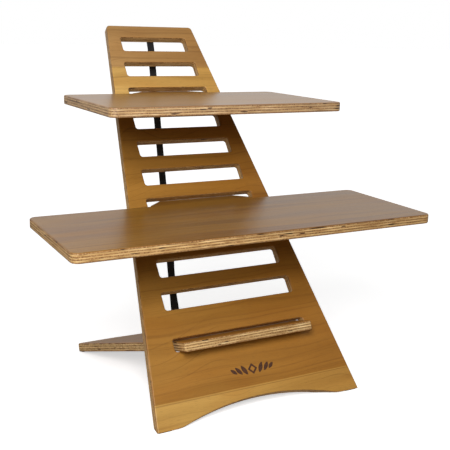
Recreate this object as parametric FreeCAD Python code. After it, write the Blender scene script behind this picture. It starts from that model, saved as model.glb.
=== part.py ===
"""Plywood standing desk converter: leaning slotted upright, two plug-in shelves, back foot, strap.

Units are millimetres. +Z is up, +Y goes from the user towards the back, X runs along the shelves.
The origin is on the desk, at the middle of the whole object's bounding box in X and Y.
"""
import FreeCAD
import Part
import math
import os

# ---- boards ----
PLY = 17.5                 # thickness of every board (18 mm nominal plywood)
ARRIS = 2.5                # radius along the boards' edges
FIT = 0.3                  # clearance at each contact of a plug-in joint
LEAN = 39.0                # upright's lean back from vertical, degrees
PAD_THICKNESS = 2.0        # rubber pads lift the boards off the desk by this much

# ---- upright ----
BASE_WIDTH = 418.0         # width at the bottom edge
TOP_WIDTH = 198.0          # width at the top edge
UPRIGHT_LENGTH = 858.0     # along the slope
TOP_CORNER = 8.0           # radius of the two top corners
FRONT_ARCH_RISE = 27.0     # arch cut between the toes of the bottom edge
ARCH_RADIUS = 511.0
TOE_RADIUS = 80.0

# ---- shelf slots ----
SLOT_COUNT = 10
SLOT_PITCH = 64.5
FIRST_SLOT_TOP = 827.0     # top edge of the highest slot, along the slope
FIRST_SLOT_HALF = 75.3     # half length of the highest slot
LAST_SLOT_HALF = 136.5     # half length of the lowest slot
SLOT_CORNER = 5.0
FOOT_SLOT_TOP = 157.0
FOOT_SLOT_HALF = 138.6

# ---- shelves ----
LOWER_SLOT = 6             # slots are counted from 0 at the top
UPPER_SLOT = 2
LOWER_WIDTH = 702.0
LOWER_DEPTH = 260.0
UPPER_WIDTH = 471.0
UPPER_DEPTH = 278.0
SHELF_CORNER = 14.0
TONGUE_LENGTH = 46.0
TONGUE_SIDE_GAP = 3.0      # between the tongue's root and each end of its slot
TONGUE_STRAIGHT = 8.0      # length of the tongue's parallel sides, before they taper
TONGUE_TAPER = 38.0        # how much narrower each side is at the tongue's end
TONGUE_CORNER = 8.0

# ---- back foot ----
FOOT_SLOPE = 18.5          # degrees below horizontal, towards the back
TAB_OUT = 30.0             # tab's length in front of the upright
TAB_HALF = 133.0
TAB_STOP_GAP = 3.6         # between the widening sides and the ends of the slot
FOOT_REAR_HALF = 221.0
FOOT_TOE_FLAT = 10.0       # depth of the flat that stands on the rear pads
REAR_ARCH_RISE = 20.0
FOOT_CORNER = 6.0

# ---- strap and its hardware ----
STRAP_WIDTH = 16.0
STRAP_THICKNESS = 1.6
STRAP_GAP = 0.4            # air between the webbing and what it passes
SLIT_INSET = 14.0          # from the foot's rear edge to the middle of the slit
SLIT_LENGTH = 21.0
SLIT_WIDTH = 5.0
BUCKLE_HEIGHT = 78.0       # buckle's lower end above the foot, along the strap
BUCKLE_LENGTH = 24.0
BUCKLE_WIDTH = 25.0
BUCKLE_RAIL = 3.5
BUCKLE_BAR = 4.2           # the bars' size along the strap
BUCKLE_BAR_DEPTH = 2.4
BUCKLE_TRAVEL = 24.0       # how far the buckle slides up the doubled webbing
TAIL_LENGTH = 50.0         # free end of the strap above the buckle
ANCHOR_WIDTH = 25.0
ANCHOR_HEIGHT = 16.0
ANCHOR_THICKNESS = 1.5
SCREW_SPACING = 9.0
SCREW_SIDES = (-SCREW_SPACING / 2, SCREW_SPACING / 2)
SCREW_SHANK = 1.75         # radius
SCREW_HEAD = 3.6           # radius
SCREW_HEAD_HEIGHT = 2.2
SCREW_LENGTH = 15.0
SCREW_POINT = 4.0          # tapered length
SCREW_CLEARANCE = 0.05
RECESS_SPAN = 4.2          # cross recess in the head
RECESS_WIDTH = 0.9
RECESS_DEPTH = 1.2

X_AXIS = FreeCAD.Vector(1, 0, 0)
SIN = math.sin(math.radians(LEAN))
COS = math.cos(math.radians(LEAN))


# ---- plane geometry ----
def vec(x, y, z=0.0):
    return FreeCAD.Vector(x, y, z)


def contact_gap(tilt):
    """Gap from a board's face to the sharp corner that a slot's edge had before it was rounded."""
    angle = math.radians(tilt)
    return FIT - ARRIS * (math.cos(angle) + math.sin(angle) - 1)


def slot_height(tilt):
    """Height of a square-cut slot that a board tilted from the slot's own axis just passes."""
    angle = math.radians(tilt)
    return PLY * math.tan(angle) + (PLY + 2 * contact_gap(tilt)) / math.cos(angle)


def corner_points(before, corner, after, radius):
    """Start, middle and end of the arc that rounds one corner."""
    back = (before - corner).normalize()
    ahead = (after - corner).normalize()
    half = back.getAngle(ahead) / 2
    reach = radius / math.tan(half)
    middle = (back + ahead).normalize()
    return (corner + back * reach,
            corner + middle * (radius / math.sin(half) - radius),
            corner + ahead * reach)


def rounded_face(corners):
    """Face from a list of (x, y, corner radius)."""
    points = [vec(x, y) for x, y, radius in corners]
    count = len(points)
    arcs = []
    for i, (x, y, radius) in enumerate(corners):
        if radius > 0:
            arcs.append(corner_points(points[i - 1], points[i], points[(i + 1) % count], radius))
        else:
            arcs.append((points[i], None, points[i]))
    edges = []
    for i, (start, middle, end) in enumerate(arcs):
        if middle is not None:
            edges.append(Part.Arc(start, middle, end).toShape())
        edges.append(Part.makeLine(end, arcs[(i + 1) % count][0]))
    return Part.Face(Part.Wire(edges))


def rectangle_face(half_x, low_y, high_y, radius):
    return rounded_face([(-half_x, low_y, radius), (half_x, low_y, radius),
                         (half_x, high_y, radius), (-half_x, high_y, radius)])


def arch_face(rise):
    """The space cut out between two toes: a long arch that meets the edge line in round toes."""
    reach = ARCH_RADIUS + TOE_RADIUS
    toe = toe_start(rise)
    share = ARCH_RADIUS / reach
    join = vec(toe * share, rise - ARCH_RADIUS + share * (reach - rise))
    turn = math.asin(toe / reach) / 2
    bend = vec(toe - TOE_RADIUS * math.sin(turn), TOE_RADIUS * (1 - math.cos(turn)))
    crown = vec(0, rise)
    edges = [
        Part.Arc(vec(-toe, 0), vec(-bend.x, bend.y), vec(-join.x, join.y)).toShape(),
        Part.Arc(vec(-join.x, join.y), crown, join).toShape(),
        Part.Arc(join, bend, vec(toe, 0)).toShape(),
        Part.makeLine(vec(toe, 0), vec(toe, -rise)),
        Part.makeLine(vec(toe, -rise), vec(-toe, -rise)),
        Part.makeLine(vec(-toe, -rise), vec(-toe, 0)),
    ]
    return Part.Face(Part.Wire(edges))


def toe_start(rise):
    """Distance from the middle to where the toe is flat again."""
    return math.sqrt(2 * rise * (ARCH_RADIUS + TOE_RADIUS) - rise ** 2)


def plate(face):
    """Board from its plan face, with its outline's edges rounded on both sides."""
    board = face.extrude(vec(0, 0, PLY))
    flat = [e for e in board.Edges if abs(e.BoundBox.ZMax - e.BoundBox.ZMin) < 0.01]
    return board.makeFillet(ARRIS, flat)


def ribbon(points, thickness, width):
    """Webbing: a band of constant thickness along (y, z) points, extruded across X."""
    half = thickness / 2
    left = []
    right = []
    for i, point in enumerate(points):
        normals = []
        if i > 0:
            step = (point - points[i - 1]).normalize()
            normals.append(vec(-step.y, step.x))
        if i < len(points) - 1:
            step = (points[i + 1] - point).normalize()
            normals.append(vec(-step.y, step.x))
        mitre = sum(normals, vec(0, 0)).normalize()
        offset = mitre * (half / mitre.dot(normals[0]))
        left.append(point + offset)
        right.append(point - offset)
    outline = left + right[::-1]
    ring = [vec(-width / 2, p.x, p.y) for p in outline]
    face = Part.Face(Part.makePolygon(ring + ring[:1]))
    return face.extrude(vec(width, 0, 0))


# ---- local frames ----
UPRIGHT_PLACE = FreeCAD.Placement(vec(0, 0, PAD_THICKNESS), FreeCAD.Rotation(X_AXIS, 90 - LEAN))


def on_upright(v, depth=0.0):
    """(y, z) of a point on the centre line, v up the slope and depth behind the front face."""
    return vec(v * SIN + depth * COS, PAD_THICKNESS + v * COS - depth * SIN)


SHELF_SLOT_HEIGHT = slot_height(LEAN)
FOOT_SLOT_HEIGHT = slot_height(LEAN - FOOT_SLOPE)
FOOT_SIN = math.sin(math.radians(FOOT_SLOPE))
FOOT_COS = math.cos(math.radians(FOOT_SLOPE))
FOOT_SLOT_EDGE = on_upright(FOOT_SLOT_TOP - FOOT_SLOT_HEIGHT)
FOOT_GAP = contact_gap(LEAN - FOOT_SLOPE)
FOOT_ORIGIN = vec(FOOT_SLOT_EDGE.x - TAB_OUT * FOOT_COS + FOOT_GAP * FOOT_SIN,
                  FOOT_SLOT_EDGE.y + TAB_OUT * FOOT_SIN + FOOT_GAP * FOOT_COS)
FOOT_PLACE = FreeCAD.Placement(vec(0, FOOT_ORIGIN.x, FOOT_ORIGIN.y),
                               FreeCAD.Rotation(X_AXIS, -FOOT_SLOPE))
# the bottom face reaches the pads' height here, and the board ends one toe flat further on
TOE_START = (FOOT_ORIGIN.y - PAD_THICKNESS) / FOOT_SIN
FOOT_LENGTH = TOE_START + FOOT_TOE_FLAT * FOOT_COS


def on_foot(along, above=0.0):
    """(y, z) of a point on the centre line, along the foot from its tab and above its bottom face."""
    return vec(FOOT_ORIGIN.x + along * FOOT_COS + above * FOOT_SIN,
               FOOT_ORIGIN.y - along * FOOT_SIN + above * FOOT_COS)


FOOT_WEB_END = FOOT_LENGTH - REAR_ARCH_RISE
ANCHOR_CENTRE = (FIRST_SLOT_TOP + UPRIGHT_LENGTH) / 2
STRAP_OFF = STRAP_GAP + STRAP_THICKNESS / 2
STRAP_FOOT = on_foot(FOOT_WEB_END + STRAP_OFF, PLY)
STRAP_HEAD = on_upright(ANCHOR_CENTRE - ANCHOR_HEIGHT, PLY + STRAP_THICKNESS)
STRAP_UP = (STRAP_HEAD - STRAP_FOOT).normalize()
STRAP_BACK = vec(STRAP_UP.y, -STRAP_UP.x)


def on_strap(up, back=0.0):
    """(y, z) of a point up the strap's straight run from the foot and behind the webbing's middle."""
    return STRAP_FOOT + STRAP_UP * up + STRAP_BACK * back


def slot_top(index):
    return FIRST_SLOT_TOP - index * SLOT_PITCH


def slot_half(index):
    return FIRST_SLOT_HALF + (LAST_SLOT_HALF - FIRST_SLOT_HALF) * index / (SLOT_COUNT - 1)


def half_space_below(height):
    size = 2000.0
    return Part.makeBox(size, size, size, vec(-size / 2, -size / 2, height - size))


# ---- pieces ----
def upright_board():
    outline = rounded_face([(-BASE_WIDTH / 2, 0, 0), (BASE_WIDTH / 2, 0, 0),
                            (TOP_WIDTH / 2, UPRIGHT_LENGTH, TOP_CORNER),
                            (-TOP_WIDTH / 2, UPRIGHT_LENGTH, TOP_CORNER)])
    face = outline.cut(arch_face(FRONT_ARCH_RISE))
    for index in range(SLOT_COUNT):
        top = slot_top(index)
        face = face.cut(rectangle_face(slot_half(index), top - SHELF_SLOT_HEIGHT, top, SLOT_CORNER))
    foot_slot = rectangle_face(FOOT_SLOT_HALF, FOOT_SLOT_TOP - FOOT_SLOT_HEIGHT, FOOT_SLOT_TOP,
                               SLOT_CORNER)
    board = plate(face.cut(foot_slot).Faces[0])
    board.translate(vec(0, 0, -PLY))
    board.Placement = UPRIGHT_PLACE.multiply(board.Placement)
    board = board.cut(half_space_below(PAD_THICKNESS))
    for x in SCREW_SIDES:
        board = board.cut(screw_hole(x))
    return board


def screw_frame(x):
    """Placement with its Z axis out of the upright's rear face, at one screw."""
    point = on_upright(ANCHOR_CENTRE, PLY)
    turn = FreeCAD.Rotation(X_AXIS, 90 - LEAN).multiply(FreeCAD.Rotation(X_AXIS, 180))
    return FreeCAD.Placement(vec(x, point.x, point.y), turn)


ANCHOR_BACK = STRAP_THICKNESS + ANCHOR_THICKNESS


def screw_hole(x):
    """Pilot hole, a little deeper than the screw, carried on through the webbing and the plate."""
    depth = SCREW_LENGTH - ANCHOR_BACK + 1.0
    length = depth + 2 * ANCHOR_BACK
    hole = Part.makeCylinder(SCREW_SHANK + SCREW_CLEARANCE, length, vec(0, 0, -depth))
    hole.Placement = screw_frame(x)
    return hole


def strap_anchor_plate():
    half_x = ANCHOR_WIDTH / 2
    half_y = ANCHOR_HEIGHT / 2
    bar = rectangle_face(half_x, -half_y, half_y, 3.0).extrude(vec(0, 0, ANCHOR_THICKNESS))
    bar.translate(vec(0, 0, STRAP_THICKNESS))
    bar.Placement = screw_frame(0).multiply(bar.Placement)
    for x in SCREW_SIDES:
        bar = bar.cut(screw_hole(x))
    return bar


def strap_anchor_screws():
    screws = []
    for x in SCREW_SIDES:
        dome = 2 * SCREW_HEAD
        ball = Part.makeSphere(dome, vec(0, 0, SCREW_HEAD_HEIGHT - dome))
        head = Part.makeCylinder(SCREW_HEAD, SCREW_HEAD_HEIGHT).common(ball)
        straight = SCREW_LENGTH - SCREW_POINT
        shank = Part.makeCylinder(SCREW_SHANK, straight, vec(0, 0, -straight))
        point = Part.makeCone(SCREW_SHANK / 6, SCREW_SHANK, SCREW_POINT, vec(0, 0, -SCREW_LENGTH))
        arm = Part.makeBox(RECESS_SPAN, RECESS_WIDTH, 2 * RECESS_DEPTH,
                           vec(-RECESS_SPAN / 2, -RECESS_WIDTH / 2, SCREW_HEAD_HEIGHT - RECESS_DEPTH))
        cross = arm.fuse(arm.rotated(vec(0, 0), vec(0, 0, 1), 90))
        screw = head.fuse([shank, point]).cut(cross).removeSplitter()
        screw.translate(vec(0, 0, ANCHOR_BACK))
        screw.Placement = screw_frame(x).multiply(screw.Placement)
        screws.append(screw)
    return Part.makeCompound(screws)


def shelf(width, depth, index):
    """Shelf with its rear tongue through one slot, level, its wings just clear of the upright."""
    bottom = on_upright(slot_top(index) - SHELF_SLOT_HEIGHT)
    root = slot_half(index) - TONGUE_SIDE_GAP
    end = root - TONGUE_TAPER
    half = width / 2
    rear = TONGUE_LENGTH
    face = rounded_face([(-half, -depth, SHELF_CORNER), (half, -depth, SHELF_CORNER),
                         (half, 0, SHELF_CORNER), (root, 0, 0), (root, TONGUE_STRAIGHT, 0),
                         (end, rear, TONGUE_CORNER), (-end, rear, TONGUE_CORNER),
                         (-root, TONGUE_STRAIGHT, 0), (-root, 0, 0), (-half, 0, SHELF_CORNER)])
    board = plate(face)
    rise = contact_gap(LEAN)
    clear = (FIT - rise * SIN) / COS
    board.translate(vec(0, bottom.x - clear, bottom.y + rise))
    return board


def back_foot():
    # the sides widen from inside the slot, and nearly meet its ends where the board leaves it
    tilt = math.radians(LEAN - FOOT_SLOPE)
    leave = TAB_OUT + PLY / math.cos(tilt) + PLY * math.tan(tilt)
    wedge = FOOT_SLOT_HALF - TAB_HALF - TAB_STOP_GAP
    start = leave - (FOOT_LENGTH - leave) * wedge / (FOOT_REAR_HALF - TAB_HALF - wedge)
    face = rounded_face([(-TAB_HALF, 0, FOOT_CORNER / 2), (TAB_HALF, 0, FOOT_CORNER / 2),
                         (TAB_HALF, start, 0), (FOOT_REAR_HALF, FOOT_LENGTH, FOOT_CORNER),
                         (-FOOT_REAR_HALF, FOOT_LENGTH, FOOT_CORNER), (-TAB_HALF, start, 0)])
    arch = arch_face(REAR_ARCH_RISE)
    arch.rotate(vec(0, 0), vec(0, 0, 1), 180)
    arch.translate(vec(0, FOOT_LENGTH))
    slit = rectangle_face(SLIT_LENGTH / 2, -SLIT_WIDTH / 2, SLIT_WIDTH / 2, SLIT_WIDTH / 2 - 0.1)
    slit.translate(vec(0, FOOT_WEB_END - SLIT_INSET))
    board = plate(face.cut(arch).cut(slit).Faces[0])
    board.Placement = FOOT_PLACE.multiply(board.Placement)
    return board.cut(half_space_below(PAD_THICKNESS))


def strap():
    """Screwed flat at the top, straight down, round the foot's rear web and back up to the buckle."""
    layer = STRAP_THICKNESS + STRAP_GAP
    face_side = PLY + STRAP_THICKNESS / 2
    slit = FOOT_WEB_END - SLIT_INSET
    points = [
        on_upright(ANCHOR_CENTRE + ANCHOR_HEIGHT / 2 - 1.0, face_side),
        on_upright(ANCHOR_CENTRE - ANCHOR_HEIGHT / 2 - 1.0, face_side),
        on_strap((STRAP_HEAD - STRAP_FOOT).Length - 12.0),
        STRAP_FOOT,
        on_foot(FOOT_WEB_END + STRAP_OFF, -STRAP_OFF),
        on_foot(slit, -STRAP_OFF),
        on_foot(slit, PLY + 2.0),
        on_strap(BUCKLE_HEIGHT - 5.0, -layer),
        on_strap(BUCKLE_HEIGHT + BUCKLE_LENGTH + BUCKLE_TRAVEL + 3.0, -layer),
        on_strap(BUCKLE_HEIGHT + BUCKLE_LENGTH + TAIL_LENGTH, -layer - 3.0),
    ]
    webbing = ribbon(points, STRAP_THICKNESS, STRAP_WIDTH)
    for x in SCREW_SIDES:
        webbing = webbing.cut(screw_hole(x))
    return webbing


def strap_buckle():
    """Tri-glide: two side rails, end bars behind the webbing and a middle bar in front of it."""
    # local Y runs up the strap and local Z runs out in front of it, where the second layer lies
    behind = -STRAP_THICKNESS / 2 - STRAP_GAP
    before = STRAP_THICKNESS + STRAP_GAP - behind
    half = BUCKLE_RAIL / 2
    rail = rounded_face([(-half, 0, 1.5), (half, 0, 1.5),
                         (half, BUCKLE_LENGTH, 1.5), (-half, BUCKLE_LENGTH, 1.5)])
    pieces = []
    for side in (-1, 1):
        solid = rail.extrude(vec(0, 0, before - behind + 2 * BUCKLE_BAR_DEPTH))
        solid.translate(vec(side * (BUCKLE_WIDTH / 2 - half), 0, behind - BUCKLE_BAR_DEPTH))
        pieces.append(solid)
    inner = BUCKLE_WIDTH - BUCKLE_RAIL
    middle = (BUCKLE_LENGTH - BUCKLE_BAR) / 2
    for low, depth in ((0.0, behind - BUCKLE_BAR_DEPTH), (middle, before),
                       (BUCKLE_LENGTH - BUCKLE_BAR, behind - BUCKLE_BAR_DEPTH)):
        pieces.append(Part.makeBox(inner, BUCKLE_BAR, BUCKLE_BAR_DEPTH, vec(-inner / 2, low, depth)))
    buckle = pieces[0].fuse(pieces[1:]).removeSplitter()
    buckle.rotate(vec(0, 0), X_AXIS, math.degrees(math.atan2(STRAP_UP.y, STRAP_UP.x)))
    place = on_strap(BUCKLE_HEIGHT)
    buckle.translate(vec(0, place.x, place.y))
    return buckle


def pad(half_x, near_y, far_y, centre_x):
    block = rectangle_face(half_x, near_y, far_y, 3.0).extrude(vec(0, 0, PAD_THICKNESS))
    block.translate(vec(centre_x, 0))
    return block


def front_pad(side):
    toe = toe_start(FRONT_ARCH_RISE)
    margin = 3.0
    half = (BASE_WIDTH / 2 - toe) / 2
    return pad(half - margin, margin, PLY / COS - margin, side * (toe + half))


def rear_pad(side):
    toe = toe_start(REAR_ARCH_RISE)
    margin = 1.0
    outer = FOOT_REAR_HALF - FOOT_CORNER
    half = (outer - toe) / 2
    low = on_foot(TOE_START).x
    return pad(half - margin, low + margin, low + FOOT_TOE_FLAT - margin, side * (toe + half))


def main():
    pieces = {
        "upright_board": upright_board(),
        "lower_shelf": shelf(LOWER_WIDTH, LOWER_DEPTH, LOWER_SLOT),
        "upper_shelf": shelf(UPPER_WIDTH, UPPER_DEPTH, UPPER_SLOT),
        "back_foot": back_foot(),
        "strap": strap(),
        "strap_buckle": strap_buckle(),
        "strap_anchor_plate": strap_anchor_plate(),
        "strap_anchor_screws": strap_anchor_screws(),
        "front_pad_left": front_pad(-1),
        "front_pad_right": front_pad(1),
        "rear_pad_left": rear_pad(-1),
        "rear_pad_right": rear_pad(1),
    }
    boxes = [piece.optimalBoundingBox(False, False) for piece in pieces.values()]
    shift = -(min(box.YMin for box in boxes) + max(box.YMax for box in boxes)) / 2
    os.makedirs("parts", exist_ok=True)
    for name, piece in pieces.items():
        if len(piece.Solids) == 1:
            piece = piece.Solids[0]
        piece.translate(vec(0, shift, 0))
        piece.exportStep("parts/" + name + ".step")
        box = piece.optimalBoundingBox(False, False)
        print(name, piece.ShapeType, piece.isValid(), round(piece.Volume),
              [round(value, 2) for value in (box.XMin, box.XMax, box.YMin, box.YMax, box.ZMin, box.ZMax)])
    print("y shift", round(shift, 3))


main()
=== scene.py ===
"""Looks of a plywood standing desk converter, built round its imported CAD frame. Units are metres."""
import math

import bmesh
import bpy
from mathutils import Matrix, Vector


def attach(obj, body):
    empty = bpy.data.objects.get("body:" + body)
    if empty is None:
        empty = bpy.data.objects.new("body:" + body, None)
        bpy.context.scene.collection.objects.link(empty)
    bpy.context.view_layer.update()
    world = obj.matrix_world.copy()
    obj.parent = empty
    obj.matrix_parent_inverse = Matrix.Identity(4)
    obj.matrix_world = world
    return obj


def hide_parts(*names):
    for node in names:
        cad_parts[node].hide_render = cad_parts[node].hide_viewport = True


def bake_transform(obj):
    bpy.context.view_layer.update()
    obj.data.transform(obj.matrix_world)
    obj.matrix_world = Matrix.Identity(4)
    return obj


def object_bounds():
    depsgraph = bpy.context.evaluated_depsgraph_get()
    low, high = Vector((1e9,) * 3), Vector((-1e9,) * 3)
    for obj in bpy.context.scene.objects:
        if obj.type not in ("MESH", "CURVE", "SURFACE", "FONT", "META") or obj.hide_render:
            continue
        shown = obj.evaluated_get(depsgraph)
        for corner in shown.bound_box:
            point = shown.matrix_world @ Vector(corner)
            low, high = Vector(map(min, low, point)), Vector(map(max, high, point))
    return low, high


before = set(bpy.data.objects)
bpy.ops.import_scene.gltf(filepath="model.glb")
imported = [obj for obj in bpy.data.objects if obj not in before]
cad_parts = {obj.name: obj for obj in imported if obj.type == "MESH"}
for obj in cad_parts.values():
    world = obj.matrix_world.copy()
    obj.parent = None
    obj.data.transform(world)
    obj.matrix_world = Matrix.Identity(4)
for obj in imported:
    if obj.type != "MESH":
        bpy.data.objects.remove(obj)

cad_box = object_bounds()

# ---- sizes that repeat the CAD model's ----
PLY = 0.0175                       # board thickness
UPRIGHT_TILT = math.radians(-51)   # turns a point about X into the upright's own axes
FOOT_TILT = math.radians(18.5)
UPRIGHT_LENGTH = 0.858
STRAP_WIDTH = 0.016
STRAP_THICKNESS = 0.0016
STRAP_GAP = 0.0004                 # air between the webbing and what it passes
REAR_ARCH_RISE = 0.020
SLIT_INSET = 0.014                 # from the foot's rear edge to the middle of the slit
ANCHOR_INSET = 0.0155              # from the upright's top edge to the anchor's middle
ANCHOR_HEIGHT = 0.016
BUCKLE_HEIGHT = 0.078              # buckle's lower end above the foot, along the strap
BUCKLE_LENGTH = 0.024
BUCKLE_WIDTH = 0.025
BUCKLE_RAIL = 0.0035
BUCKLE_BAR = 0.0042
BUCKLE_BAR_DEPTH = 0.0024
BUCKLE_TRAVEL = 0.024
TAIL_LENGTH = 0.050
CLAMP_DROP = 0.001                 # the clamped end lies this much lower than the anchor
STRAP_LEAVE = 0.012                # the straight run starts this far below the anchor
SLIT_RISE = 0.002                  # the second layer turns this high above the foot
BUCKLE_LEAD = 0.005                # it lies on the run from this far below the buckle
TAIL_LEAD = 0.003                  # to this far above the buckle's highest place
TAIL_LIFT = 0.003                  # and its free end stands off by this

# ---- plywood ----
FACE_VENEER = 0.0008               # thickness of a board's outermost plies
INNER_PLIES = 7
LEAF_SHIFT = 6.1                   # moves the figure on from one veneer leaf to the next
FIGURE_SEED = 25.48                # chooses where growth lines show
PAINTED_FALLOFF_HALF = 0.16                   # half the width over which a face's painted light falloff goes from its left brightness to its right one

# ---- details ----
WEAVE_COLUMNS = 10.0               # yarns across the webbing
WEAVE_PITCH = 0.0034               # length of one yarn's turn along it
RIB_DEPTH = 0.00007
STRAP_STEP = 0.004                 # longest step along the strap's mesh
STRAP_BENDS = (0.008, 0.03, 0.0024, 0.0024, 0.0024, 0.004, 0.03, 0.06)   # radii, from the anchor on
RAIL_ROUNDING = 0.0014
BAR_ROUNDING = 0.0009
MARK_UP = 0.077                    # middle of the burnt mark above the upright's lower edge
MARK_DEPTH = 0.00012
MARK_LEAVES = (                    # (distance from the middle, length, width, lean in degrees)
    (0.0170, 0.0215, 0.0084, 62),
    (0.0285, 0.0190, 0.0076, 52),
    (0.0388, 0.0155, 0.0066, 42),
)
MARK_LOZENGE = (                   # right half of its ring: the outside, then the inside
    (0.0, 0.0105), (0.0098, 0.0), (0.0, -0.0105),
    (0.0, -0.0055), (0.0051, 0.0), (0.0, 0.0055),
)

# ---- camera ----
CAMERA_YAW = math.radians(28.15)   # from +Y towards +X
CAMERA_PITCH = math.radians(13.76)
CAMERA_ROLL = math.radians(1.36)
CAMERA_DISTANCE = 1.49
CAMERA_LENS = 63.0
CAMERA_AIM = Vector((0.0, -0.1047, 0.3057))

# ---- light ----
ROOM_FRONT = 0.07                  # strength behind the main camera
ROOM_BACK = 0.95                   # strength beyond the object
ROOM_TOP = 0.3
ROOM_DEPTHS = (-0.3, 0.6)          # the room goes from its front to its back between these
ROOM_HEIGHTS = (0.25, 0.9)         # and into its top between these
KEY_AZIMUTH = math.radians(-32)    # 0 is in front of the object and 90 at its right
KEY_ELEVATION = math.radians(29)
KEY_DISTANCE = 1.7
KEY_SIZE = 0.78
KEY_POWER = 26
FLOOR_SIZE = 60.0
FLOOR_SHOWN = (0.92, 0.92, 0.92, 1)
FLOOR_BOUNCE = (0.50, 0.47, 0.43, 1)
GLOW_REACH = (0.3, 2.4)            # distances from the middle between which the floor's glow grows
GLOW = (0.58, 0.75)


# ---- colours ----
def srgb(red, green, blue):
    """Linear colour from everyday 0-255 values."""
    values = [c / 255 for c in (red, green, blue)]
    return tuple(v / 12.92 if v <= 0.04045 else ((v + 0.055) / 1.055) ** 2.4 for v in values) + (1.0,)


WARM = srgb(165, 115, 47)          # veneer leaves
PALE = srgb(210, 164, 88)
MID = srgb(184, 139, 82)
TAN = srgb(165, 119, 51)
DEEP = srgb(145, 103, 41)
LOW = srgb(188, 143, 71)
THREAD = srgb(92, 54, 22)          # marks in the veneer
GROWTH_LINE = srgb(96, 60, 22)
SEAM = srgb(110, 70, 30)
PORE = (0.10, 0.055, 0.015, 1)
BLUSH = (0.86, 0.72, 0.55, 1)
GLUE = srgb(84, 48, 22)            # marks in the boards' edges
# painted shade: the dark inside of the open voids in the boards' edges
VOID_PAINTED_SHADE = srgb(66, 38, 18)
WHITE = (1, 1, 1, 1)


# ---- shader graphs ----
class Graph:
    """Adds nodes to one tree. An input is a number, a tuple or another node's output."""

    def __init__(self, tree):
        self.tree = tree

    def feed(self, socket, value):
        if isinstance(value, bpy.types.NodeSocket):
            self.tree.links.new(value, socket)
        else:
            socket.default_value = value

    def node(self, kind, inputs=(), **settings):
        made = self.tree.nodes.new(kind)
        for name, value in settings.items():
            setattr(made, name, value)
        for name, value in dict(inputs).items():
            self.feed(made.inputs[name], value)
        return made

    def math(self, operation, first, second=0.0, third=0.0):
        made = self.node("ShaderNodeMath", {0: first, 1: second, 2: third}, operation=operation)
        return made.outputs[0]

    def plus(self, first, second):
        return self.math("ADD", first, second)

    def minus(self, first, second):
        return self.math("SUBTRACT", first, second)

    def times(self, first, second):
        return self.math("MULTIPLY", first, second)

    def off(self, value, centre):
        """Distance from the centre, on either side."""
        return self.math("ABSOLUTE", self.minus(value, centre))

    def split(self, vector):
        return self.node("ShaderNodeSeparateXYZ", {0: vector}).outputs

    def join(self, *coordinates):
        """Vector from three coordinates, each of them a value or a (value, rate) pair."""
        values = [self.times(*c) if isinstance(c, tuple) else c for c in coordinates]
        return self.node("ShaderNodeCombineXYZ", enumerate(values)).outputs[0]

    def noise(self, vector, detail=2.0, roughness=0.5):
        inputs = {"Vector": vector, "Scale": 1.0, "Detail": detail, "Roughness": roughness}
        return self.node("ShaderNodeTexNoise", inputs).outputs[0]

    def between(self, value, low, high, start=0.0, end=1.0, curve="SMOOTHSTEP"):
        """Value's place between low and high, as a number from start to end."""
        inputs = {0: value, 1: low, 2: high, 3: start, 4: end}
        return self.node("ShaderNodeMapRange", inputs, interpolation_type=curve).outputs[0]

    def blend(self, factor, first, second):
        """A number between two numbers."""
        return self.node("ShaderNodeMix", {0: factor, 2: first, 3: second}, data_type="FLOAT").outputs[0]

    def mix(self, factor, first, second, mode="MIX"):
        """A colour between two colours, or one on the other."""
        inputs = {0: factor, 6: first, 7: second}
        return self.node("ShaderNodeMix", inputs, data_type="RGBA", blend_type=mode).outputs[2]

    def ramp(self, factor, stops, interpolation="LINEAR"):
        made = self.node("ShaderNodeValToRGB", {0: factor})
        made.color_ramp.interpolation = interpolation
        elements = made.color_ramp.elements
        while len(elements) < len(stops):
            elements.new(1.0)
        for element, (place, colour) in zip(elements, stops):
            element.position = place
            element.color = colour
        return made.outputs[0]


class Surface(Graph):
    """The graph of one new material."""

    def __init__(self, name):
        self.material = bpy.data.materials.new(name)
        self.material.use_nodes = True
        super().__init__(self.material.node_tree)
        self.shader = self.tree.nodes["Principled BSDF"]

    def grit(self, scale, detail=1.0, roughness=0.5):
        """Noise in the object's coordinates, with one scale or one for each axis."""
        scales = scale if isinstance(scale, tuple) else (scale, scale, scale)
        place = self.node("ShaderNodeTexCoord").outputs["Object"]
        scaled = self.node("ShaderNodeVectorMath", {0: place, 1: scales}, operation="MULTIPLY")
        return self.noise(scaled.outputs[0], detail, roughness)

    def bump(self, height, distance, strength):
        inputs = {"Height": height, "Distance": distance, "Strength": strength}
        self.feed(self.shader.inputs["Normal"], self.node("ShaderNodeBump", inputs).outputs[0])

    def finish(self, colour, roughness, **others):
        """Feeds the shader. A socket's name is written with underscores for its spaces."""
        sockets = {"Base_Color": colour, "Roughness": roughness, **others}
        for name, value in sockets.items():
            self.feed(self.shader.inputs[name.replace("_", " ")], value)
        return self.material


# ---- boards' own axes ----
class Board:
    """A board's axes: along its grain (X), up the board and from its back face to its front."""

    def __init__(self, node, tilt, length=None):
        self.tilt = tilt
        self.turn = Matrix.Rotation(tilt, 3, "X")
        turned = [self.turn @ vertex.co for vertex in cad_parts[node].data.vertices]
        self.low_z = min(corner.z for corner in turned)
        high_y = max(corner.y for corner in turned)
        self.low_y = min(corner.y for corner in turned) if length is None else high_y - length
        self.length = high_y - self.low_y

    def at(self, x, up, out):
        """Point in the object's own frame."""
        return self.turn.transposed() @ Vector((x, self.low_y + up, self.low_z + out))

    def place(self, graph):
        """Object coordinates in the board's axes, as a shader output."""
        inputs = {"Vector": graph.node("ShaderNodeTexCoord").outputs["Object"],
                  "Location": (0, -self.low_y, -self.low_z), "Rotation": (self.tilt, 0, 0)}
        return graph.node("ShaderNodeMapping", inputs).outputs[0]


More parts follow.
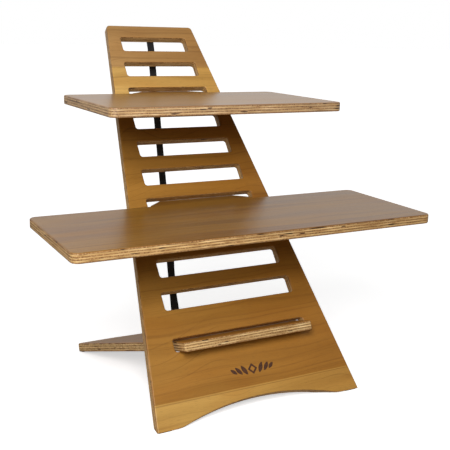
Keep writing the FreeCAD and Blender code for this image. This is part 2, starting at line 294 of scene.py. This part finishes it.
UPRIGHT = Board("upright_board", UPRIGHT_TILT, UPRIGHT_LENGTH)
LOWER = Board("lower_shelf", 0.0)
UPPER = Board("upper_shelf", 0.0)
FOOT = Board("back_foot", FOOT_TILT)


# ---- boards' material ----
class Plywood(Surface):
    """Satin lacquered plywood: figured veneer on the faces, striped plies with voids on the edges."""

    def __init__(self, name, board, seed, leaf_stops, figure):
        super().__init__(name)
        self.leaf_stops = leaf_stops
        self.figure = figure
        self.u, self.v, self.w = self.split(board.place(self))
        ripple = self.noise(self.join((self.u, 38.0), (self.v, 38.0), (self.w, 190.0)))
        self.find_ply(self.plus(self.w, self.times(self.minus(ripple, 0.5), 0.0014)))
        self.along = self.blend(self.crossed, self.u, self.v)
        across = self.blend(self.crossed, self.v, self.u)
        shift = self.math("MULTIPLY_ADD", self.inner, -LEAF_SHIFT, LEAF_SHIFT)
        self.layer = self.plus(self.plus(self.times(self.ply, 0.731), seed),
                               self.times(self.leaf_number(), shift))

        # slow waves bend the grain, so that streaks swell and narrow
        drift = self.noise(self.join((self.along, 2.6), (across, 7.0), self.layer))
        self.bent = self.plus(across, self.times(drift, 0.055))
        self.deep = self.plus(self.times(self.times(self.w, 260.0), self.inner), self.layer)
        self.streaks = self.grain(2.2, 34.0)
        self.fibres = self.grain(22.0, 1300.0, 3.0, 0.65)
        self.pores = self.between(self.grain(75.0, 1900.0, 0.0), 0.66, 0.74)

    def find_ply(self, w):
        """Number of the ply at this depth, and whether it is inner, crossed and near a glue line."""
        step = (PLY - 2 * FACE_VENEER) / INNER_PLIES
        depth = self.math("DIVIDE", self.minus(w, FACE_VENEER), step)
        self.ply = self.math("FLOOR", depth)
        above = self.math("GREATER_THAN", depth, 0.0)
        below = self.math("LESS_THAN", depth, float(INNER_PLIES))
        self.inner = self.times(above, below)
        even = self.math("LESS_THAN", self.math("FLOORED_MODULO", self.ply, 2.0), 0.5)
        self.crossed = self.times(even, self.inner)
        within = self.off(self.math("FRACT", depth), 0.5)
        self.glue = self.times(self.between(within, 0.40, 0.48), self.inner)

    def leaf_number(self):
        """Veneer leaves counted from the second and largest, so that neighbours differ in figure."""
        number = 0.0
        for place, (stop, unused) in enumerate(self.leaf_stops[1:]):
            operation = "LESS_THAN" if place == 0 else "GREATER_THAN"
            number = self.plus(number, self.math(operation, self.v, stop))
        return number

    def grain(self, along_rate, across_rate, detail=2.0, roughness=0.5):
        vector = self.join((self.along, along_rate), (self.bent, across_rate), self.deep)
        return self.noise(vector, detail, roughness)

    def growth_lines(self):
        """A few sweeping lines, in patches."""
        sweep = self.noise(self.join((self.along, 3.4), (self.bent, 4.0), self.layer), 1.0)
        contour = self.math("FRACT", self.plus(self.times(self.bent, 42.0), self.times(sweep, 12.0)))
        line = self.between(self.off(contour, 0.5), 0.06, 0.0)
        seeded = self.plus(self.layer, FIGURE_SEED)
        patch = self.noise(self.join((self.along, 4.5), (self.bent, 9.0), seeded), 1.0)
        return self.times(line, self.between(patch, 0.50, 0.66))

    def face(self):
        """Lacquered face: leaves of veneer with faint streaks, dark threads, growth lines and pores."""
        leaf = self.ramp(self.v, self.leaf_stops, "CONSTANT")
        broad = self.ramp(self.streaks, [(0.3, (0.70, 0.65, 0.58, 1)), (0.47, (0.94, 0.93, 0.92, 1)),
                                         (0.7, (1.18, 1.20, 1.24, 1))])
        colour = self.mix(0.3 + self.figure, leaf, broad, "MULTIPLY")
        blotch = self.noise(self.join((self.along, 5.0), (self.bent, 16.0), self.plus(self.layer, 40.0)))
        colour = self.mix(self.between(blotch, 0.48, 0.68, 0.0, 0.45), colour, BLUSH, "MULTIPLY")
        fine = self.ramp(self.fibres, [(0.3, (0.93, 0.92, 0.91, 1)), (0.7, (1.05, 1.05, 1.05, 1))])
        colour = self.mix(0.8, colour, fine, "MULTIPLY")
        threads = self.between(self.grain(1.7, 210.0), 0.54, 0.70)
        colour = self.mix(self.times(threads, self.figure), colour, THREAD)
        colour = self.mix(self.times(self.growth_lines(), 0.30), colour, GROWTH_LINE)
        for stop, unused in self.leaf_stops[1:]:
            seam = self.between(self.off(self.v, stop), 0.0011, 0.0004)
            colour = self.mix(self.times(seam, 0.4), colour, SEAM)
        return self.mix(self.times(self.pores, 0.25), colour, PORE)

    def edge(self):
        """Cut edge and its open voids: pale long plies, browner crossed ones, broken dark lines, and
        voids coloured dark as painted shade inside them.
        """
        along = self.plus(self.u, self.v)
        fleck = self.grain(26.0, 420.0, 3.0, 0.6)
        pale = self.ramp(fleck, [(0.3, srgb(162, 119, 68)), (0.48, srgb(204, 164, 104)),
                                 (0.7, srgb(230, 196, 138))])
        brown = self.ramp(fleck, [(0.3, srgb(104, 64, 30)), (0.5, srgb(160, 116, 68)),
                                  (0.7, srgb(206, 164, 110))])
        colour = self.mix(self.crossed, pale, brown)
        wander = self.noise(self.join((along, 9.0), (self.layer, 3.7), 0.0), 1.0)
        uneven = self.ramp(wander, [(0.35, (0.80, 0.78, 0.74, 1)), (0.65, (1.10, 1.10, 1.08, 1))])
        colour = self.mix(1.0, colour, uneven, "MULTIPLY")
        broken = self.noise(self.join((along, 34.0), 0.0, (self.layer, 7.9)))
        dark = self.times(self.glue, self.between(broken, 0.4, 0.62, 0.15, 0.85))
        colour = self.mix(dark, colour, GLUE)
        place = self.join((along, 30.0), (self.w, 160.0), (self.layer, 1.9))
        void = self.between(self.noise(place, 1.0), 0.69, 0.72)
        # the voids are real openings, coloured dark as painted shade inside them
        return self.mix(void, colour, VOID_PAINTED_SHADE), self.times(void, self.inner)


def plywood(name, board, seed, leaf_stops, figure=0.25, gloss=0.3, painted_falloff=(1.0, 1.0),
            edge_painted_light=(1.0, 1.0, 1.0)):
    """One board's material, with painted light: its face falls off from the first given brightness on
    the left to the second on the right, and its cut edges are painted lighter as bounce light, by one
    factor for each colour channel.
    """
    wood = Plywood(name, board, seed, leaf_stops, figure)
    left, right = [(share, share ** 2, share ** 4, 1) for share in painted_falloff]
    # painted light falloff: the face's brightness is painted to go from its left value to its right one
    # across the board
    painted_falloff_tone = wood.mix(wood.between(wood.u, -PAINTED_FALLOFF_HALF, PAINTED_FALLOFF_HALF), left, right)
    face = wood.mix(1.0, wood.face(), painted_falloff_tone, "MULTIPLY")
    edge, void = wood.edge()
    # painted bounce light: the cut edges are painted lighter, channel by channel, standing in for light
    # bounced onto them
    edge = wood.mix(1.0, edge, (*edge_painted_light, 1), "MULTIPLY")
    relief = wood.minus(wood.times(wood.fibres, 0.2), wood.times(wood.pores, 0.2))
    wood.bump(wood.minus(relief, wood.times(void, 1.5)), 0.0004, 0.4)
    rough = wood.plus(wood.times(wood.streaks, 0.12), wood.blend(wood.inner, 0.27, 0.42))
    return wood.finish(wood.mix(wood.inner, face, edge), rough, Specular_IOR_Level=gloss)


def dress(node, material):
    """Gives a carried-over CAD node one material."""
    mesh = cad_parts[node].data
    mesh.materials.clear()
    mesh.materials.append(material)


def dress_boards():
    leaves = [(0.0, LOW), (0.044, WARM), (0.652, PALE), (0.748, MID)]
    # painted light falloff on the upright's face, lighter on the left and darker on the right
    dress("upright_board", plywood("upright_plywood", UPRIGHT, 1.7, leaves, painted_falloff=(1.04, 0.93)))
    # the shelves' and the foot's cut edges carry painted bounce light, lightest in blue
    dress("lower_shelf", plywood("lower_shelf_plywood", LOWER, 5.2, [(0.0, DEEP)], figure=0.6,
                                 gloss=0.34, edge_painted_light=(1.0, 1.02, 1.1)))
    dress("upper_shelf", plywood("upper_shelf_plywood", UPPER, 9.4, [(0.0, TAN)], gloss=0.85,
                                 edge_painted_light=(1.0, 1.05, 1.3)))
    dress("back_foot", plywood("foot_plywood", FOOT, 13.1, [(0.0, WARM)], edge_painted_light=(1.1, 1.18, 1.35)))


# ---- small materials ----
def webbing_material():
    """Black woven polypropylene: raised yarns in offset columns, slightly fuzzy, with a dull sheen."""
    graph = Surface("black_webbing")
    across, along, unused = graph.split(graph.node("ShaderNodeUVMap", uv_map="weave").outputs[0])
    column = graph.times(across, WEAVE_COLUMNS)
    odd = graph.math("FLOORED_MODULO", graph.math("FLOOR", column), 2.0)
    row = graph.plus(graph.math("DIVIDE", along, WEAVE_PITCH), graph.times(odd, 0.5))
    yarn = graph.math("SINE", graph.times(graph.math("FRACT", row), math.pi))
    rib = graph.math("SINE", graph.times(graph.math("FRACT", column), math.pi))
    height = graph.times(graph.math("POWER", yarn, 0.6), graph.math("POWER", rib, 0.5))
    fuzz = graph.noise(graph.join((across, 260.0), (along, 3600.0), 0.0))
    # painted shade: the weave's valleys are coloured darker than its raised yarns
    colour = graph.mix(height, srgb(5, 5, 6), srgb(21, 21, 23))
    colour = graph.mix(graph.times(fuzz, 0.3), colour, srgb(34, 34, 37))
    graph.bump(graph.plus(height, graph.times(fuzz, 0.15)), 0.0004, 0.9)
    return graph.finish(colour, graph.between(height, 0.0, 1.0, 0.85, 0.6), Sheen_Weight=0.08)


def plastic_material():
    """Black moulded acetal with a fine spark-eroded grain and softly worn high spots."""
    graph = Surface("black_acetal")
    cloud = graph.grit(90.0, 3.0)
    graph.bump(graph.grit(2600.0, 2.0), 0.00008, 0.6)
    colour = graph.mix(cloud, srgb(17, 17, 18), srgb(34, 34, 36))
    return graph.finish(colour, graph.between(cloud, 0.3, 0.7, 0.38, 0.52))


def painted_steel_material():
    """Black powder coat with its orange-peel surface."""
    graph = Surface("black_powder_coat")
    dust = graph.grit(160.0, 3.0)
    graph.bump(graph.grit(900.0), 0.0001, 0.7)
    colour = graph.mix(dust, srgb(20, 20, 21), srgb(44, 44, 45))
    return graph.finish(colour, graph.between(dust, 0.3, 0.7, 0.4, 0.55))


def zinc_material():
    """Bright zinc plate, slightly clouded and finely scratched."""
    graph = Surface("bright_zinc")
    cloud = graph.grit(420.0, 3.0)
    graph.bump(graph.grit((5200.0, 700.0, 700.0)), 0.00004, 0.5)
    colour = graph.mix(cloud, srgb(150, 152, 150), srgb(212, 212, 204))
    return graph.finish(colour, graph.between(cloud, 0.3, 0.7, 0.22, 0.42), Metallic=1.0)


def rubber_material():
    """Matt black rubber, a little dusty."""
    graph = Surface("black_rubber")
    dust = graph.grit(260.0, 4.0, 0.65)
    graph.bump(graph.grit(3000.0), 0.00006, 0.5)
    colour = graph.mix(graph.between(dust, 0.45, 0.8), srgb(20, 20, 20), srgb(62, 60, 57))
    return graph.finish(colour, graph.between(dust, 0.3, 0.7, 0.75, 0.92))


def scorch_material():
    """Charred wood: nearly black in its middle, brown where the burn was light."""
    graph = Surface("burnt_wood")
    u, v, unused = graph.split(UPRIGHT.place(graph))
    char = graph.noise(graph.join((u, 260.0), (v, 900.0), 3.1), 3.0, 0.6)
    colour = graph.mix(graph.between(char, 0.35, 0.7), srgb(52, 26, 10), srgb(98, 56, 24))
    graph.bump(char, 0.0002, 0.6)
    return graph.finish(colour, graph.between(char, 0.3, 0.7, 0.55, 0.8))


# ---- mesh helpers ----
def add_piece(name, mesh, material, body=None):
    """Links a mesh as a piece, which rides on the body if one is given."""
    piece = bpy.data.objects.new(name, mesh)
    bpy.context.collection.objects.link(piece)
    mesh.materials.append(material)
    if body is not None:
        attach(piece, body)
    return piece


def smooth(mesh, angle):
    """Shades smoothly, apart from edges sharper than the angle."""
    for polygon in mesh.polygons:
        polygon.use_smooth = True
    mesh.set_sharp_from_angle(angle=math.radians(angle))


def mesh_from(bm, name):
    mesh = bpy.data.meshes.new(name)
    bmesh.ops.recalc_face_normals(bm, faces=bm.faces)
    bm.to_mesh(mesh)
    bm.free()
    return mesh


def round_corners(points, radii):
    """The points with each inner corner replaced by an arc of its radius."""
    path = [points[0]]
    for before, corner, after, radius in zip(points, points[1:], points[2:], radii):
        back = (before - corner).normalized()
        ahead = (after - corner).normalized()
        half = back.angle(ahead) / 2
        if half > math.radians(89):
            path.append(corner)
            continue
        centre = corner + (back + ahead).normalized() * (radius / math.sin(half))
        first = corner + back * (radius / math.tan(half)) - centre
        last = corner + ahead * (radius / math.tan(half)) - centre
        steps = max(4, int(math.degrees(first.angle(last)) / 9))
        for step in range(steps + 1):
            path.append(centre + first.slerp(last, step / steps) * radius)
    path.append(points[-1])
    return path


def evenly(path, spacing):
    """The path with its long runs divided, so that no step is longer than the spacing."""
    dense = [path[0]]
    for start, end in zip(path, path[1:]):
        count = max(1, math.ceil((end - start).length / spacing))
        dense += [start.lerp(end, step / count) for step in range(1, count + 1)]
    return dense


# ---- strap ----
STRAP_OFF = STRAP_GAP + STRAP_THICKNESS / 2
LAYER = STRAP_THICKNESS + STRAP_GAP
WEB_END = FOOT.length - REAR_ARCH_RISE
STRAP_FOOT = FOOT.at(0, WEB_END + STRAP_OFF, PLY)
STRAP_HEAD = UPRIGHT.at(0, UPRIGHT_LENGTH - ANCHOR_INSET - ANCHOR_HEIGHT, -STRAP_THICKNESS)
STRAP_UP = (STRAP_HEAD - STRAP_FOOT).normalized()
STRAP_BACK = Vector((0, STRAP_UP.z, -STRAP_UP.y))


def on_strap(up, back=0.0):
    """Point up the strap's straight run from the foot, and behind the webbing's middle."""
    return STRAP_FOOT + STRAP_UP * up + STRAP_BACK * back


def strap_route():
    """From the anchor straight down, round the foot's web, up its slit and to the free end."""
    clamped = UPRIGHT_LENGTH - ANCHOR_INSET - CLAMP_DROP
    slit = WEB_END - SLIT_INSET
    tip = BUCKLE_HEIGHT + BUCKLE_LENGTH
    points = [
        UPRIGHT.at(0, clamped + ANCHOR_HEIGHT / 2, -STRAP_THICKNESS / 2),
        UPRIGHT.at(0, clamped - ANCHOR_HEIGHT / 2, -STRAP_THICKNESS / 2),
        on_strap((STRAP_HEAD - STRAP_FOOT).length - STRAP_LEAVE),
        STRAP_FOOT,
        FOOT.at(0, WEB_END + STRAP_OFF, -STRAP_OFF),
        FOOT.at(0, slit, -STRAP_OFF),
        FOOT.at(0, slit, PLY + SLIT_RISE),
        on_strap(BUCKLE_HEIGHT - BUCKLE_LEAD, -LAYER),
        on_strap(tip + BUCKLE_TRAVEL + TAIL_LEAD, -LAYER),
        on_strap(tip + TAIL_LENGTH, -LAYER - TAIL_LIFT),
    ]
    return evenly(round_corners(points, STRAP_BENDS), STRAP_STEP)


def webbing_section():
    """(across, out) of one turn round the webbing: flat ribs and round selvedges."""
    half = STRAP_WIDTH / 2
    edge = STRAP_THICKNESS / 2
    count = 40
    side = []
    for step in range(count + 1):
        x = -half + STRAP_WIDTH * step / count
        over = max(0.0, abs(x) - (half - edge)) / edge
        thick = edge * math.sqrt(max(0.0, 1 - over * over))
        rib = RIB_DEPTH * (1 - math.cos(2 * math.pi * WEAVE_COLUMNS * step / count)) / 2
        side.append((x, max(0.0, thick - rib)))
    return side + [(x, -out) for x, out in reversed(side[1:-1])]


def add_strap(material):
    """Sweeps the webbing's section along its route, with its weave laid out in a UV map."""
    route = strap_route()
    section = webbing_section()
    bm = bmesh.new()
    weave = bm.loops.layers.uv.new("weave")
    rings = []
    lengths = []
    run = 0.0
    for index, point in enumerate(route):
        before = route[max(0, index - 1)]
        after = route[min(len(route) - 1, index + 1)]
        way = (after - before).normalized()
        out = Vector((0, -way.z, way.y))
        run += (point - before).length
        lengths.append(run)
        rings.append([bm.verts.new(point + Vector((x, 0, 0)) + out * depth) for x, depth in section])
    for ring in range(len(rings) - 1):
        for side in range(len(section)):
            other = (side + 1) % len(section)
            corners = ((side, ring), (other, ring), (other, ring + 1), (side, ring + 1))
            face = bm.faces.new([rings[station][place] for place, station in corners])
            for loop, (place, station) in zip(face.loops, corners):
                loop[weave].uv = (section[place][0] / STRAP_WIDTH + 0.5, lengths[station])
    bm.faces.new(rings[0])
    bm.faces.new(rings[-1])
    mesh = mesh_from(bm, "webbing_strap")
    smooth(mesh, 60.0)
    strap = add_piece("webbing_strap", mesh, material)
    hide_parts("strap")
    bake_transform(strap)


# ---- buckle ----
def rounded_box(low, high, radius):
    """Closed box with rounded edges, between two corners."""
    bm = bmesh.new()
    bmesh.ops.create_cube(bm, size=1.0)
    size = high - low
    for vertex in bm.verts:
        vertex.co = low + Vector((0.5 + vertex.co[i]) * size[i] for i in range(3))
    bmesh.ops.bevel(bm, geom=bm.edges[:], offset=radius, segments=4, profile=0.5, affect="EDGES")
    return bm


def join_boxes(name, boxes):
    """One closed mesh from overlapping rounded boxes."""
    pieces = []
    for index, bm in enumerate(boxes):
        piece = bpy.data.objects.new(f"{name}_{index}", mesh_from(bm, f"{name}_{index}"))
        bpy.context.collection.objects.link(piece)
        pieces.append(piece)
    whole = pieces[0]
    for piece in pieces[1:]:
        union = whole.modifiers.new("union", "BOOLEAN")
        union.operation = "UNION"
        union.solver = "EXACT"
        union.object = piece
    bpy.context.view_layer.update()
    mesh = bpy.data.meshes.new_from_object(whole.evaluated_get(bpy.context.evaluated_depsgraph_get()))
    for piece in pieces:
        bpy.data.objects.remove(piece)
    mesh.name = name
    return mesh


def add_buckle(material):
    """Tri-glide: side rails, end bars behind the webbing and a middle bar in front of it."""
    behind = -STRAP_THICKNESS / 2 - STRAP_GAP
    front = STRAP_THICKNESS + STRAP_GAP - behind
    half = BUCKLE_WIDTH / 2
    boxes = []
    for side in (-1, 1):
        inner = side * (half - BUCKLE_RAIL)
        outer = side * half
        low = Vector((min(inner, outer), 0, behind - BUCKLE_BAR_DEPTH))
        high = Vector((max(inner, outer), BUCKLE_LENGTH, front + BUCKLE_BAR_DEPTH))
        boxes.append(rounded_box(low, high, RAIL_ROUNDING))
    middle = (BUCKLE_LENGTH - BUCKLE_BAR) / 2
    for place, depth in ((0.0, behind - BUCKLE_BAR_DEPTH), (middle, front),
                         (BUCKLE_LENGTH - BUCKLE_BAR, behind - BUCKLE_BAR_DEPTH)):
        low = Vector((-half + BUCKLE_RAIL / 2, place, depth))
        high = Vector((half - BUCKLE_RAIL / 2, place + BUCKLE_BAR, depth + BUCKLE_BAR_DEPTH))
        boxes.append(rounded_box(low, high, BAR_ROUNDING))
    mesh = join_boxes("tri_glide", boxes)
    axes = Matrix((Vector((1, 0, 0)), STRAP_UP, -STRAP_BACK)).transposed()
    mesh.transform(Matrix.Translation(on_strap(BUCKLE_HEIGHT)) @ axes.to_4x4())
    smooth(mesh, 35.0)
    piece = add_piece("tri_glide", mesh, material, "strap_slider")
    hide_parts("strap_buckle")


# ---- burnt ornament ----
def leaf_outline(length, width, lean):
    """Pointed leaf about its own middle, leaning from the board's X axis."""
    count = 14
    points = []
    for side in (1, -1):
        for step in range(count):
            share = step / count if side > 0 else 1 - step / count
            x = (share - 0.5) * length
            y = side * width / 2 * math.sin(math.pi * share) ** 0.8
            points.append((x * math.cos(lean) - y * math.sin(lean),
                           x * math.sin(lean) + y * math.cos(lean)))
    return points


def add_mark(material):
    """A sprig burnt into the front face: a ringed lozenge between leaves that shrink outwards."""
    bm = bmesh.new()

    def corner(x, up, out):
        return bm.verts.new(UPRIGHT.at(x, MARK_UP + up, PLY + out))

    def raised(outline):
        top = [corner(x, y, MARK_DEPTH) for x, y in outline]
        base = [corner(x, y, -MARK_DEPTH) for x, y in outline]
        bm.faces.new(top)
        bm.faces.new(base[::-1])
        for index in range(len(outline)):
            after = (index + 1) % len(outline)
            bm.faces.new((top[index], base[index], base[after], top[after]))

    for side in (-1, 1):
        for place, length, width, lean in MARK_LEAVES:
            raised([(side * (place + x), y) for x, y in leaf_outline(length, width, math.radians(lean))])
        raised([(side * x, y) for x, y in MARK_LOZENGE])
    add_piece("burnt_sprig", mesh_from(bm, "burnt_sprig"), material, "upright")


# ---- stage ----
def add_floor():
    """Large pale floor: white where it is seen, darker where it would only throw light up."""
    bpy.ops.mesh.primitive_plane_add(size=FLOOR_SIZE)
    floor = bpy.context.object
    floor.name = "floor"
    graph = Surface("pale_floor")
    seen = graph.node("ShaderNodeLightPath").outputs["Is Camera Ray"]
    colour = graph.mix(seen, FLOOR_BOUNCE, FLOOR_SHOWN)
    place = graph.node("ShaderNodeTexCoord").outputs["Object"]
    distance = graph.node("ShaderNodeVectorMath", {0: place}, operation="LENGTH").outputs["Value"]
    glow = graph.blend(seen, 0.0, graph.between(distance, *GLOW_REACH, *GLOW))
    floor.data.materials.append(graph.finish(colour, 0.8, Emission_Color=WHITE, Emission_Strength=glow))


def add_camera():
    forward = Vector((math.sin(CAMERA_YAW) * math.cos(CAMERA_PITCH),
                      math.cos(CAMERA_YAW) * math.cos(CAMERA_PITCH), -math.sin(CAMERA_PITCH)))
    level = forward.cross(Vector((0, 0, 1))).normalized()
    upward = level.cross(forward)
    right = level * math.cos(CAMERA_ROLL) + upward * math.sin(CAMERA_ROLL)
    up = right.cross(forward)
    camera = bpy.data.objects.new("camera", bpy.data.cameras.new("camera"))
    camera.data.lens = CAMERA_LENS
    axes = Matrix((right, up, -forward)).transposed()
    camera.matrix_world = Matrix.Translation(CAMERA_AIM - forward * CAMERA_DISTANCE) @ axes.to_4x4()
    bpy.context.collection.objects.link(camera)
    bpy.context.scene.camera = camera


def add_key_light():
    """Square soft light aimed at the object's middle."""
    middle = (Vector(cad_box[0]) + Vector(cad_box[1])) / 2
    away = Vector((math.sin(KEY_AZIMUTH) * math.cos(KEY_ELEVATION),
                   -math.cos(KEY_AZIMUTH) * math.cos(KEY_ELEVATION), math.sin(KEY_ELEVATION)))
    lamp = bpy.data.lights.new("key", "AREA")
    lamp.size = KEY_SIZE
    lamp.energy = KEY_POWER
    light = bpy.data.objects.new("key", lamp)
    light.location = middle + away * KEY_DISTANCE
    light.rotation_euler = away.to_track_quat("Z", "Y").to_euler()
    bpy.context.collection.objects.link(light)


def add_world():
    """White to the camera; to everything else a soft room, brightest behind the object, dim in front."""
    world = bpy.data.worlds.new("studio")
    bpy.context.scene.world = world
    world.use_nodes = True
    graph = Graph(world.node_tree)
    background = graph.tree.nodes["Background"]
    x, y, z = graph.split(graph.node("ShaderNodeTexCoord").outputs["Generated"])
    sideways = graph.times(x, math.sin(CAMERA_YAW))
    depth = graph.math("MULTIPLY_ADD", y, math.cos(CAMERA_YAW), sideways)
    behind = graph.between(depth, *ROOM_DEPTHS, ROOM_FRONT, ROOM_BACK, "LINEAR")
    room = graph.blend(graph.between(z, *ROOM_HEIGHTS, curve="LINEAR"), behind, ROOM_TOP)
    seen = graph.node("ShaderNodeLightPath").outputs["Is Camera Ray"]
    graph.feed(background.inputs["Strength"], graph.blend(seen, room, 1.0))
    graph.feed(background.inputs["Color"], WHITE)


def main():
    bpy.context.scene.view_settings.view_transform = "Standard"
    dress_boards()
    add_strap(webbing_material())
    add_buckle(plastic_material())
    add_mark(scorch_material())
    dress("strap_anchor_plate", painted_steel_material())
    dress("strap_anchor_screws", zinc_material())
    rubber = rubber_material()
    for pad in ("front_pad_left", "front_pad_right", "rear_pad_left", "rear_pad_right"):
        dress(pad, rubber)
    add_floor()
    add_camera()
    add_key_light()
    add_world()


main()
bpy.context.view_layer.update()
